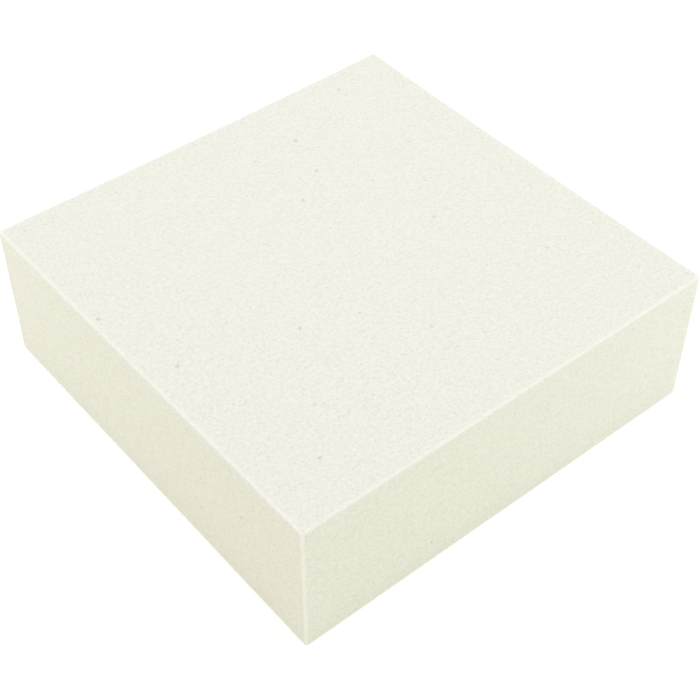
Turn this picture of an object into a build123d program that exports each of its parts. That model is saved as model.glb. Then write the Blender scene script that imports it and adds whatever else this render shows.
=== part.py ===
from build123d import *

import os

# A square block of soft open-cell polyurethane foam, 6 x 6 x 2 inches, cut from a bun with a blade.
# It is one piece: six flat cut faces, with every edge slightly rounded where the cut cells give way.
#
# Frame, in millimetres: the origin is the middle of the face the block rests on, +Z points up out
# of the top face, and X and Y run along the two equal sides.

inch = 25.4
side = 6 * inch  # length and width of the square faces
thickness = 2 * inch
edge_radius = 0.5  # a little under one cell: a cut foam edge is never sharper than its cell walls

with BuildPart() as foam_block:
    with BuildSketch(Plane.XY) as square_cut:
        Rectangle(side, side)
    extrude(amount=thickness)
    fillet(foam_block.edges(), radius=edge_radius)

foam_block.part.label = "foam_block"

os.makedirs("parts", exist_ok=True)
export_step(foam_block.part, "parts/foam_block.step")
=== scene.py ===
import math
import bpy
import numpy as np
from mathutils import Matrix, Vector


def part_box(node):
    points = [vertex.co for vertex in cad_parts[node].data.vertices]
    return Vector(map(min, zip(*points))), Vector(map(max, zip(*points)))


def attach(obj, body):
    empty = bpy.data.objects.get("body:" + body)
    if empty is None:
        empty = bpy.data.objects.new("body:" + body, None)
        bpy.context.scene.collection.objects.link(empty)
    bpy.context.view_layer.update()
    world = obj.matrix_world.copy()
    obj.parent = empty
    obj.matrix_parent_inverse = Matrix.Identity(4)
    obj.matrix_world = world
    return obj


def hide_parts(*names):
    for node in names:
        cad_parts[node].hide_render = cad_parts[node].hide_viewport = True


# A square block of cream-white, open-cell polyurethane foam, cut with a blade, on a pale floor in soft light.

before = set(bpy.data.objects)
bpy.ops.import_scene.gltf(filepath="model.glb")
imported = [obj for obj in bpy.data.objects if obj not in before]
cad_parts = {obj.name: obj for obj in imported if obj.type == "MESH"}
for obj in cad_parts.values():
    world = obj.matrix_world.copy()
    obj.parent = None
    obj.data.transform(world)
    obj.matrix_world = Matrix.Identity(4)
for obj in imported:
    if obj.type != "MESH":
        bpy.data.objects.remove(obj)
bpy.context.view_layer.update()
blockLow, blockHigh = (np.array(corner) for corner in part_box("foam_block"))
blockCentre = (blockLow + blockHigh) / 2
blockHalf = (blockHigh - blockLow) / 2
scene = bpy.context.scene
mm = 0.001

viewPoint = dict(
    azimuth=-39.51,  # degrees round the block: 0 looks along +Y
    elevation=45.49,
    distance=0.4508,
    aim=(-0.0090, -0.0139, 0.0254),
    lens=74.94,
    sensor=36.0,
    nearest=0.01,  # nothing closer to the lens than this is drawn
)


def addCamera(spec):
    azimuth, elevation = math.radians(spec["azimuth"]), math.radians(spec["elevation"])
    level = math.cos(elevation)
    back = Vector((math.sin(azimuth) * level, -math.cos(azimuth) * level, math.sin(elevation)))
    lens = bpy.data.cameras.new("camera")
    lens.lens, lens.sensor_width = spec["lens"], spec["sensor"]
    lens.clip_start = spec["nearest"]
    camera = bpy.data.objects.new("camera", lens)
    camera.location = Vector(spec["aim"]) + back * spec["distance"]
    camera.rotation_euler = (-back).to_track_quat("-Z", "Y").to_euler()
    scene.collection.objects.link(camera)
    scene.camera = camera


# Small helpers for shader nodes. Each value given to a socket is a constant or another node's output.
def feed(tree, socket, value):
    if isinstance(value, bpy.types.NodeSocket):
        tree.links.new(value, socket)
    else:
        socket.default_value = value


def place(tree, kind, inputs=None, **settings):
    node = tree.nodes.new("ShaderNode" + kind)
    for name, value in settings.items():
        setattr(node, name, value)
    for name, value in (inputs or {}).items():
        feed(tree, node.inputs[name], value)
    return node


def maths(tree, operation, *values):
    return place(tree, "Math", dict(enumerate(values)), operation=operation).outputs[0]


# A value taken smoothly from 0 at start to 1 at end, also when start is the larger.
def ramp(tree, value, start, end):
    inputs = {"Value": value, "From Min": start, "From Max": end}
    return place(tree, "MapRange", inputs, interpolation_type="SMOOTHSTEP").outputs["Result"]


def blend(tree, amount, first, second):
    node = place(tree, "Mix", data_type="RGBA")
    factor, colourA, colourB = node.inputs[0], node.inputs[6], node.inputs[7]
    for socket, value in ((factor, amount), (colourA, first), (colourB, second)):
        feed(tree, socket, (*value, 1) if isinstance(value, tuple) else value)
    return node.outputs[2]


def newMaterial(name):
    material = bpy.data.materials.new(name)
    material.use_nodes = True
    return material, material.node_tree, material.node_tree.nodes["Principled BSDF"]


def newPiece(name, points, faceArrays):
    mesh = bpy.data.meshes.new(name)
    mesh.from_pydata(points, [], [face for faces in faceArrays for face in faces.tolist()])
    mesh.polygons.foreach_set("use_smooth", np.ones(len(mesh.polygons), bool))
    mesh.update()
    piece = bpy.data.objects.new(name, mesh)
    scene.collection.objects.link(piece)
    return piece


roomLight = dict(
    wall=(0.926, 0.899, 0.728),  # warm light that comes back off pale walls
    ceiling=(1.0, 1.0, 0.99),
    ceilingFrom=0.75,  # where the ceiling's light is full, as the sine of its elevation
    strength=0.93,
    backdrop=(1.0, 1.0, 1.0),  # what the camera sees past the floor
)


def addRoom(spec):
    world = bpy.data.worlds.new("paleRoom")
    world.use_nodes = True
    tree = world.node_tree
    tree.nodes.clear()
    direction = place(tree, "TexCoord").outputs["Generated"]
    height = place(tree, "SeparateXYZ", {0: direction}).outputs["Z"]
    tint = blend(tree, ramp(tree, height, 0.0, spec["ceilingFrom"]), spec["wall"], spec["ceiling"])
    glow = place(tree, "Background", {"Color": tint, "Strength": spec["strength"]})
    plain = place(tree, "Background", {"Color": (*spec["backdrop"], 1)})
    seen = place(tree, "LightPath").outputs["Is Camera Ray"]
    shown = place(tree, "MixShader", {0: seen, 1: glow.outputs[0], 2: plain.outputs[0]})
    place(tree, "OutputWorld", {"Surface": shown.outputs[0]})
    scene.world = world
    scene.view_settings.view_transform = "Standard"
    scene.view_settings.look = "None"


softBoxes = dict(
    overhead=dict(place=(0.08, 0.08, 0.55), aim=(0.04, 0.04, 0), size=0.4, power=0.38, tint=(0.99, 1, 1.08)),
    right=dict(
        place=(0.34, -0.42, 0.09), aim=(0.05, -0.08, 0.02), size=0.3, power=0.49, tint=(0.95, 1.02, 1.3),
    ),
    left=dict(
        place=(-0.38, 0.38, 0.09), aim=(-0.08, 0.05, 0.02), size=0.3, power=0.48, tint=(1.0, 0.99, 1.25),
    ),
)


def addSoftBox(name, spec):
    lamp = bpy.data.lights.new(name, "AREA")
    lamp.shape, lamp.size = "DISK", spec["size"]
    lamp.energy, lamp.color = spec["power"], spec["tint"]
    box = bpy.data.objects.new(name, lamp)
    box.location = spec["place"]
    box.rotation_euler = (Vector(spec["aim"]) - box.location).to_track_quat("-Z", "Y").to_euler()
    box.visible_camera = False
    scene.collection.objects.link(box)


paleFloor = dict(
    radius=3.0,
    drop=0.05 * mm,  # just under the block, so the two faces never share a plane
    thrown=(0.868, 0.850, 0.727),  # the warm light that it throws back at the block
    seen=(0.93, 0.93, 0.93),
    glow=0.25,  # only to the eye, so that the floor reads white and its bounce stays soft
    glowColour=(1.0, 1.0, 1.0),
    rings=24,
    spokes=64,
)


# The floor is a disc: rings at radius * t^2, so they crowd round the block, and equal turns round the middle.
def addFloor(spec):
    turn = np.linspace(0, 2 * math.pi, spec["spokes"], endpoint=False)
    reach = spec["radius"] * np.linspace(0, 1, spec["rings"] + 1)[1:, None] ** 2
    height = blockLow[2] - spec["drop"]
    x, y = reach * np.cos(turn), reach * np.sin(turn)
    ringPoints = np.stack([x, y, np.full_like(x, height)], -1)
    points = np.concatenate([ringPoints.reshape(-1, 3), [[0, 0, height]]])
    ids = np.arange(spec["rings"] * spec["spokes"]).reshape(spec["rings"], spec["spokes"])
    after = np.roll(ids, -1, axis=1)
    quads = np.stack([ids[:-1], ids[1:], after[1:], after[:-1]], -1).reshape(-1, 4)
    middle = np.stack([ids[0], after[0], np.full(spec["spokes"], len(points) - 1)], -1)
    floor = newPiece("floor", points, [quads, middle])
    material, tree, paint = newMaterial("paleFloor")
    seen = place(tree, "LightPath").outputs["Is Camera Ray"]
    feed(tree, paint.inputs["Base Color"], blend(tree, seen, spec["thrown"], spec["seen"]))
    feed(tree, paint.inputs["Emission Strength"], maths(tree, "MULTIPLY", seen, spec["glow"]))
    paint.inputs["Emission Color"].default_value = (*spec["glowColour"], 1)
    paint.inputs["Roughness"].default_value = 1.0
    paint.inputs["Specular IOR Level"].default_value = 0.0
    floor.data.materials.append(material)


foamBlock = dict(
    step=1.4 * mm,  # grid over the flat faces
    edgeRadius=0.5 * mm,  # the block's own edge radius
    edgeRows=3,  # grid rows from a flat face to the middle of an edge
    cornerRise=0.3 * mm,  # how far the top's corners stand above the middle of its sides
    waist=0.15 * mm,  # how far the sides draw in between the corners
    unevenness=((14 * mm, 0.06 * mm), (4 * mm, 0.03 * mm), (1.7 * mm, 0.025 * mm)),  # size and depth
    raggedness=0.07 * mm,  # extra depth of the unevenness along a cut edge
    raggedWidth=1.5 * mm,
    mapMargin=1.5 * mm,  # between the faces on the unwrapped map
    seed=11,
)

# Each face's own axis and which way it looks. The two axes across it follow in the order x, y, z, x.
faces = dict(top=(2, 1), bottom=(2, -1), left=(0, -1), right=(0, 1), front=(1, -1), back=(1, 1))


def acrossAxes(name):
    axis = faces[name][0]
    return [(axis + 1) % 3, (axis + 2) % 3]


# Grid lines along one axis, end to end: even steps over the flat, then radius * (1 - tan(angle)) in from each
# end with equal angles from 0 to 45 degrees, so the rounded edge turns evenly.
def gridLines(half, spec):
    turns = np.linspace(0, math.pi / 4, spec["edgeRows"] + 1)
    edge = half - spec["edgeRadius"] * (1 - np.tan(turns))
    flat = np.linspace(-edge[0], edge[0], round(2 * edge[0] / spec["step"]) + 1)
    return np.concatenate([-edge[:0:-1], flat, edge[1:]])


# Unevenness of one size: random values on a cubic lattice over the block, blended across each cube by the
# curve 3t^2 - 2t^3 along each axis.
def latticeNoise(size, rng):
    low = blockLow - size
    table = rng.random(np.ceil((blockHigh - low) / size).astype(int) + 2)

    def value(points):
        steps = (points - low) / size
        cube = np.floor(steps).astype(int)
        t = steps - cube
        t = t * t * (3 - 2 * t)
        total = np.zeros(len(points))
        for corner in np.ndindex(2, 2, 2):
            share = np.prod(np.where(corner, t, 1 - t), axis=1)
            total += share * table[tuple((cube + corner).T)]
        return total

    return value


# How far points of the sharp box are from its nearest upright edge and its nearest level edge: for an edge
# where two planes meet, that is the larger of the distances to the two.
def fromEdges(sharp):
    x, y, z = (blockHalf - np.abs(sharp - blockCentre)).T
    return np.maximum(x, y), np.minimum(np.maximum(x, z), np.maximum(y, z))


# The cut surface over points of the sharp box. Each point goes to the nearest point of a box one radius
# smaller, plus one radius outwards, less the unevenness there. Then, with x and y from -1 to 1 across the
# block, it sinks by cornerRise * (1 - (x y)^2), and draws in by waist * x * (1 - y^2) along x and by
# waist * y * (1 - x^2) along y, all three growing evenly with height.
def cutSurface(sharp, spec):
    rng = np.random.default_rng(spec["seed"])
    noises = [latticeNoise(size, rng) for size, _ in spec["unevenness"]]
    inner = np.clip(sharp, blockLow + spec["edgeRadius"], blockHigh - spec["edgeRadius"])
    outward = sharp - inner
    outward /= np.linalg.norm(outward, axis=1, keepdims=True)
    ragged = 1 - np.clip(np.minimum(*fromEdges(sharp)) / spec["raggedWidth"], 0, 1)
    inwards = sum(depth * noise(sharp) for (_, depth), noise in zip(spec["unevenness"], noises))
    inwards += spec["raggedness"] * ragged * noises[-1](sharp)
    points = inner + outward * (spec["edgeRadius"] - inwards)[:, None]
    x, y, z = ((points - blockCentre) / blockHalf).T
    height = (z + 1) / 2
    points[:, 0] -= spec["waist"] * x * (1 - y * y) * height
    points[:, 1] -= spec["waist"] * y * (1 - x * x) * height
    points[:, 2] -= spec["cornerRise"] * (1 - (x * y) ** 2) * height
    return points


# A face's grid as numbers in the lattice of all the grid lines, so that faces share their points along edges.
def latticeNumbers(name, counts):
    axis, sign = faces[name]
    first, second = acrossAxes(name)
    index = np.zeros((counts[first], counts[second], 3), int)
    index[..., first] = np.arange(counts[first])[:, None]
    index[..., second] = np.arange(counts[second])
    index[..., axis] = (counts[axis] - 1) * (sign > 0)
    return np.ravel_multi_index(np.moveaxis(index, -1, 0), counts)


# Places across a face, from its middle, as points on the sharp box.
def ontoFace(name, places):
    axis, sign = faces[name]
    points = np.empty((len(places), 3))
    points[:, acrossAxes(name)] = places
    points[:, axis] = sign * blockHalf[axis]
    return points + blockCentre


# The same places on the unwrapped map: the square faces side by side, and the sides in two rows above them.
def ontoMap(name, places):
    margin = foamBlock["mapMargin"]
    long, short = 2 * blockHalf[0], 2 * blockHalf[2]
    column, row = dict(top=(0, 0), bottom=(1, 0), left=(0, 1), right=(1, 1), front=(0, 2), back=(1, 2))[name]
    across, along = np.moveaxis(places, -1, 0)
    if name in ("front", "back"):
        across, along = along, across
    u = margin + column * (long + margin) + across + long / 2
    v = margin + (row > 0) * (long + margin) + (row > 1) * (short + margin)
    v = v + along + (short if row else long) / 2
    return np.stack([u / (2 * long + 3 * margin), v / (long + 2 * short + 4 * margin)], -1)


pinholes = dict(
    # The spacing is for the two square faces and the sideSpacing for the four sides.
    large=dict(cells=4, spacing=36 * mm, sideSpacing=60 * mm, mouth=(1.0 * mm, 1.6 * mm), wallRows=4),
    small=dict(cells=2, spacing=11 * mm, sideSpacing=11 * mm, mouth=(0.3 * mm, 0.55 * mm), wallRows=2),
    depth=0.5,  # of the mouth's radius
    apron=(1.6, 1.12),  # flat rings round the mouth, in mouth radii
    wallTurns=(15, 72),  # degrees down a bubble's wall, from its first ring to its last
    wallMap=(0.95, 0.3),  # where those rings lie on the map, in mouth radii
    lobes=(0.12, 0.07),  # how far a mouth is oval, and how far three-sided
    seed=23,
)


# Random pinholes over a face, one for each square of the given spacing, small mouths more common than wide.
def scatter(kind, name, rng):
    halves = blockHalf[acrossAxes(name)]
    spacing = kind["spacing"] if name in ("top", "bottom") else kind["sideSpacing"]
    count = round(4 * halves[0] * halves[1] / spacing ** 2)
    centres = rng.uniform(-1, 1, (count, 2)) * halves
    narrow, wide = kind["mouth"]
    radii = (narrow + (wide - narrow) * rng.random(count) ** 2) / 2
    return list(zip(centres, radii))


# Which grid cells each pinhole takes: a square patch of them round its centre, on flat surface that no other
# pinhole has taken. Gives each patch's first cell, centre and mouth radius.
def choosePatches(wanted, cells, lines, free):
    edgeRows = foamBlock["edgeRows"]
    found = []
    for centre, radius in wanted:
        middle = [np.interp(at, line, np.arange(len(line))) for at, line in zip(centre, lines)]
        first = [round(at - cells / 2) for at in middle]
        patch = tuple(slice(start, start + cells) for start in first)
        flat = all(edgeRows <= start < len(line) - edgeRows - cells for start, line in zip(first, lines))
        if flat and free[patch].all():
            free[patch] = False
            found.append((*first, *centre, radius))
    return np.array(found, float).reshape(-1, 5)


# The grid points round a square patch of cells, counted anticlockwise from its first corner.
def patchRim(cells):
    run = np.arange(cells)
    low, high = np.zeros(cells, int), np.full(cells, cells)
    return np.concatenate([run, high, cells - run, low]), np.concatenate([low, run, high, cells - run])


# Pinholes are bubbles that the blade cut open. Spokes run from the centre to every grid point round the
# patch. Going in along a spoke, the apron's rings lie flat, and then the wall's are at
# mouth * sqrt(cos(turn)) across and depth * sin(turn) down. One point closes the floor.
def addPinholes(made, name, kind, patches, ids, lines, rng):
    sign = faces[name][1]
    stepI, stepJ = patchRim(kind["cells"])
    first = patches[:, :2].astype(int)
    i, j = first[:, :1] + stepI, first[:, 1:] + stepJ
    rim = np.stack([lines[0][i], lines[1][j]], -1)
    centre, radius = patches[:, None, 2:4], patches[:, 4:]
    spoke = rim - centre
    angle = np.arctan2(spoke[..., 1], spoke[..., 0])
    oval, threeSided = rng.uniform(0, 2 * math.pi, (2, len(patches), 1))
    lobes = pinholes["lobes"]
    mouth = radius * (1 + lobes[0] * np.cos(2 * angle + oval) + lobes[1] * np.cos(3 * angle + threeSided))
    reach = (mouth[..., None] * np.stack([np.cos(angle), np.sin(angle)], -1))[:, None]

    turns = np.radians(np.linspace(*pinholes["wallTurns"], kind["wallRows"]))
    apron = np.array(pinholes["apron"])
    across = np.concatenate([apron, np.sqrt(np.cos(turns))])
    acrossMap = np.concatenate([apron, np.linspace(*pinholes["wallMap"], kind["wallRows"])])
    down = np.concatenate([0 * apron, np.sin(turns)])
    rings = centre[:, None] + reach * across[:, None, None]
    ringsMap = centre[:, None] + reach * acrossMap[:, None, None]

    count, ringCount, spokes = rings.shape[:3]
    ringIds = made["count"] + np.arange(rings.size // 2).reshape(count, ringCount, spokes)
    floorIds = np.broadcast_to(made["count"] + rings.size // 2 + np.arange(count)[:, None], (count, spokes))
    level = np.concatenate([np.broadcast_to(down[:, None], ringIds.shape).ravel(), np.ones(count)])
    radii = np.concatenate([np.repeat(radius, ringCount * spokes), radius[:, 0]])
    addPoints(made, name, np.concatenate([rings.reshape(-1, 2), patches[:, 2:4]]), level, radii)

    outer = np.concatenate([ids[i, j][:, None], ringIds], 1)
    outerMap = np.concatenate([rim[:, None], ringsMap], 1)
    after, afterMap = np.roll(outer, -1, axis=2), np.roll(outerMap, -1, axis=2)
    quads = np.stack([outer[:, :-1], after[:, :-1], after[:, 1:], outer[:, 1:]], -1)
    quadsMap = np.stack([outerMap[:, :-1], afterMap[:, :-1], afterMap[:, 1:], outerMap[:, 1:]], -2)
    fans = np.stack([outer[:, -1], after[:, -1], floorIds], -1)
    fansMap = np.stack([outerMap[:, -1], afterMap[:, -1], np.broadcast_to(centre, rim.shape)], -2)
    addFaces(made, name, "quads", quads[..., ::sign], quadsMap[..., ::sign, :])
    addFaces(made, name, "fans", fans[..., ::sign], fansMap[..., ::sign, :])


def addPoints(made, name, places, level, radii):
    axis, sign = faces[name]
    sunk = np.zeros((len(places), 3))
    sunk[:, axis] = -sign * pinholes["depth"] * level * radii
    for key, value in (("sharp", ontoFace(name, places)), ("sunk", sunk), ("level", level)):
        made[key].append(value)
    made["count"] += len(places)


def addFaces(made, name, kind, corners, places):
    sides = corners.shape[-1]
    made[kind].append(corners.reshape(-1, sides))
    made[kind + "Map"].append(ontoMap(name, places).reshape(-1, sides, 2))


def addFace(made, name, ids, lines, rng):
    sign = faces[name][1]
    free = np.ones([len(line) - 1 for line in lines], bool)
    for kind in ("large", "small"):
        spec = pinholes[kind]
        patches = choosePatches(scatter(spec, name, rng), spec["cells"], lines, free)
        addPinholes(made, name, spec, patches, ids, lines, rng)
    quads = np.stack([ids[:-1, :-1], ids[1:, :-1], ids[1:, 1:], ids[:-1, 1:]], -1)[free]
    grid = np.stack(np.meshgrid(*lines, indexing="ij"), -1)
    places = np.stack([grid[:-1, :-1], grid[1:, :-1], grid[1:, 1:], grid[:-1, 1:]], -2)[free]
    addFaces(made, name, "quads", quads[:, ::sign], places[:, ::sign])


# The block's six faces share one skin of points: first the grid's, then those of the pinholes.
def buildBlock(spec):
    lines = [gridLines(half, spec) for half in blockHalf]
    counts = [len(line) for line in lines]
    numbers = {name: latticeNumbers(name, counts) for name in faces}
    welded = np.unique(np.concatenate([grid.ravel() for grid in numbers.values()]))
    gridPoints = np.stack([line[i] for line, i in zip(lines, np.unravel_index(welded, counts))], -1)
    made = dict(count=len(welded), quads=[], quadsMap=[], fans=[], fansMap=[])
    made.update(sharp=[gridPoints + blockCentre], sunk=[0 * gridPoints], level=[np.zeros(len(welded))])
    rng = np.random.default_rng(pinholes["seed"])
    for name in faces:
        ids = np.searchsorted(welded, numbers[name])
        addFace(made, name, ids, [lines[axis] for axis in acrossAxes(name)], rng)

    sharp, quads, fans = (np.concatenate(made[key]) for key in ("sharp", "quads", "fans"))
    points = cutSurface(sharp, spec) + np.concatenate(made["sunk"])
    block = newPiece("foam_block_cut", points, [quads, fans])
    spots = np.concatenate([np.concatenate(made[key]).ravel() for key in ("quadsMap", "fansMap")])
    block.data.uv_layers.new(name="OFBake").uv.foreach_set("vector", spots)
    fromUpright, fromLevel = fromEdges(sharp)
    pinhole = np.concatenate(made["level"])
    for name, values in (("pinhole", pinhole), ("fromUpright", fromUpright), ("fromLevel", fromLevel)):
        block.data.attributes.new(name, "FLOAT", "POINT").data.foreach_set("value", values)
    print("block:", len(points), "points,", 2 * len(quads) + len(fans), "triangles")
    return block


# A node group with the named sockets. Gives the group, what goes in and what comes out.
def startGroup(name, inputs, outputs):
    group = bpy.data.node_groups.new(name, "ShaderNodeTree")
    for label, kind in inputs.items():
        group.interface.new_socket(label, in_out="INPUT", socket_type="NodeSocket" + kind)
    for label in outputs:
        group.interface.new_socket(label, in_out="OUTPUT", socket_type="NodeSocketFloat")
    return group, group.nodes.new("NodeGroupInput").outputs, group.nodes.new("NodeGroupOutput").inputs


# Open cells: hollows of uneven depth inside the walls of a Voronoi pattern, which a noise bends out of true.
def makeOpenCells():
    inputs = {"Vector": "Vector", "Cell Size": "Float", "Wall": "Float", "Slope": "Float",
              "Least Depth": "Float", "Irregular": "Float"}
    group, given, out = startGroup("openCells", inputs, ["Hollow"])
    scale = maths(group, "DIVIDE", 1.0, given["Cell Size"])
    wander = place(group, "TexNoise", {"Vector": given["Vector"], "Scale": scale, "Detail": 1.0})
    middle = (0.5, 0.5, 0.5)
    centred = place(group, "VectorMath", {0: wander.outputs["Color"], 1: middle}, operation="SUBTRACT")
    reach = maths(group, "MULTIPLY", given["Cell Size"], given["Irregular"])
    shift = place(group, "VectorMath", {0: centred.outputs[0], "Scale": reach}, operation="SCALE")
    where = place(group, "VectorMath", {0: given["Vector"], 1: shift.outputs[0]}, operation="ADD").outputs[0]
    cell = place(group, "TexVoronoi", {"Vector": where, "Scale": scale}, feature="F1")
    wall = place(group, "TexVoronoi", {"Vector": where, "Scale": scale}, feature="DISTANCE_TO_EDGE")
    chance = place(group, "SeparateColor", {0: cell.outputs["Color"]}).outputs[0]
    slopeEnd = maths(group, "ADD", given["Wall"], given["Slope"])
    inside = ramp(group, wall.outputs["Distance"], given["Wall"], slopeEnd)
    spread = maths(group, "SUBTRACT", 1.0, given["Least Depth"])
    depth = maths(group, "MULTIPLY_ADD", chance, spread, given["Least Depth"])
    feed(group, out["Hollow"], maths(group, "MULTIPLY", inside, depth))
    return group


# Pin dots: soft round spots, one in some of the cells of a wide Voronoi pattern, from half to full size. They
# place painted shade for tiny pinholes that have no shape of their own.
def makePinDots():
    inputs = {"Vector": "Vector", "Spacing": "Float", "Size": "Float", "Share": "Float", "Softness": "Float"}
    group, given, out = startGroup("pinDots", inputs, ["Mask"])
    scale = maths(group, "DIVIDE", 1.0, given["Spacing"])
    spot = place(group, "TexVoronoi", {"Vector": given["Vector"], "Scale": scale}, feature="F1")
    chance = place(group, "SeparateColor", {0: spot.outputs["Color"]})
    chosen = maths(group, "LESS_THAN", chance.outputs[0], given["Share"])
    size = maths(group, "MULTIPLY_ADD", chance.outputs[1], 0.5, 0.5)
    radius = maths(group, "MULTIPLY", maths(group, "MULTIPLY", given["Size"], scale), size)
    core = maths(group, "MULTIPLY", radius, maths(group, "SUBTRACT", 1.0, given["Softness"]))
    mask = ramp(group, spot.outputs["Distance"], radius, core)
    feed(group, out["Mask"], maths(group, "MULTIPLY", mask, chosen))
    return group


def useGroup(tree, group, inputs):
    node = place(tree, "Group", node_tree=group)
    for name, value in inputs.items():
        feed(tree, node.inputs[name], value)
    return node.outputs[0]


foamSkin = dict(
    body=(0.868, 0.866, 0.793),
    paintedCellShade=(0.600, 0.600, 0.547),  # painted shade down in a cut cell
    paintedCellShadeAmount=0.64,
    coarse={"Cell Size": 1.1 * mm, "Wall": 0.0, "Slope": 0.4, "Least Depth": 0.4, "Irregular": 0.6},
    coarseShare=0.44,
    fine={"Cell Size": 0.62 * mm, "Wall": 0.03, "Slope": 0.4, "Least Depth": 0.4, "Irregular": 0.7},
    fineShare=0.26,
    mottle=dict(size=1.15 * mm, low=0.25, high=0.75, share=0.30),  # how thickly the cells lie, which sets how much painted cell shade there is
    pinholeShade=(0.64, 0.62, 0.54),  # painted shade inside a pinhole, deepest at its floor; the pin dots use it too
    pinholeShadeAmount=0.4,
    # Pin dots: painted shade of tiny pinholes.
    dots={"Spacing": 2.6 * mm, "Size": 0.36 * mm, "Share": 0.2, "Softness": 0.6},
    pinDotShadeAmount=0.4,
    edge=(0.965, 0.96, 0.935),  # painted highlight along a cut edge, for light that comes through the thin foam there
    # How wide and how strong the painted edge highlight is, stronger on the upright edges than on the level
    # ones.
    uprightEdgeHighlight=dict(width=1.25 * mm, glow=0.95),
    levelEdgeHighlight=dict(width=1.6 * mm, glow=0.4),
    cellDepth=0.25 * mm,
    bump=0.25,
)


def makeFoam(spec):
    material, tree, foam = newMaterial("openCellFoam")
    where = place(tree, "TexCoord").outputs["Object"]
    cells, dots = makeOpenCells(), makePinDots()
    coarse = useGroup(tree, cells, {"Vector": where, **spec["coarse"]})
    fine = useGroup(tree, cells, {"Vector": where, **spec["fine"]})
    finePits = maths(tree, "MULTIPLY", fine, spec["fineShare"])
    pits = maths(tree, "MULTIPLY_ADD", coarse, spec["coarseShare"], finePits)
    mottle = spec["mottle"]
    noise = place(tree, "TexNoise", {"Vector": where, "Scale": 1 / mottle["size"], "Detail": 1.0})
    thickness = ramp(tree, noise.outputs["Fac"], mottle["low"], mottle["high"])
    paintedCellShade = maths(tree, "MULTIPLY_ADD", thickness, mottle["share"], pits)
    pinDotShade = useGroup(tree, dots, {"Vector": where, **spec["dots"]})
    pinholeShade = place(tree, "Attribute", attribute_name="pinhole").outputs["Fac"]
    glows = []
    for name, edgeHighlight in (("fromUpright", spec["uprightEdgeHighlight"]), ("fromLevel", spec["levelEdgeHighlight"])):
        distance = place(tree, "Attribute", attribute_name=name).outputs["Fac"]
        glows.append(maths(tree, "MULTIPLY", ramp(tree, distance, edgeHighlight["width"], 0.0), edgeHighlight["glow"]))

    # Painted shade: the cells' hollows and the mottle darken the body colour towards the painted cell shade,
    # on top of their real bump.
    colour = blend(tree, maths(tree, "MULTIPLY", paintedCellShade, spec["paintedCellShadeAmount"]), spec["body"], spec["paintedCellShade"])
    # Painted highlight along the cut edges.
    colour = blend(tree, maths(tree, "MAXIMUM", *glows), colour, spec["edge"])
    # Painted shade in the pin dots.
    colour = blend(tree, maths(tree, "MULTIPLY", pinDotShade, spec["pinDotShadeAmount"]), colour, spec["pinholeShade"])
    # Painted shade inside the pinholes, growing with depth down their walls.
    colour = blend(tree, maths(tree, "MULTIPLY", pinholeShade, spec["pinholeShadeAmount"]), colour, spec["pinholeShade"])
    feed(tree, foam.inputs["Base Color"], colour)
    height = maths(tree, "SUBTRACT", 1.0, pits)
    bump = place(tree, "Bump", {"Strength": spec["bump"], "Distance": spec["cellDepth"], "Height": height})
    feed(tree, foam.inputs["Normal"], bump.outputs[0])
    foam.inputs["Roughness"].default_value = 1.0
    foam.inputs["Specular IOR Level"].default_value = 0.0
    return material


addCamera(viewPoint)
addRoom(roomLight)
for boxName, boxSpec in softBoxes.items():
    addSoftBox(boxName, boxSpec)
addFloor(paleFloor)
print("room: camera, light and floor are in place")

block = buildBlock(foamBlock)
block.data.materials.append(makeFoam(foamSkin))
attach(block, "root")
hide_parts("foam_block")
print("foam: the block has its surface")
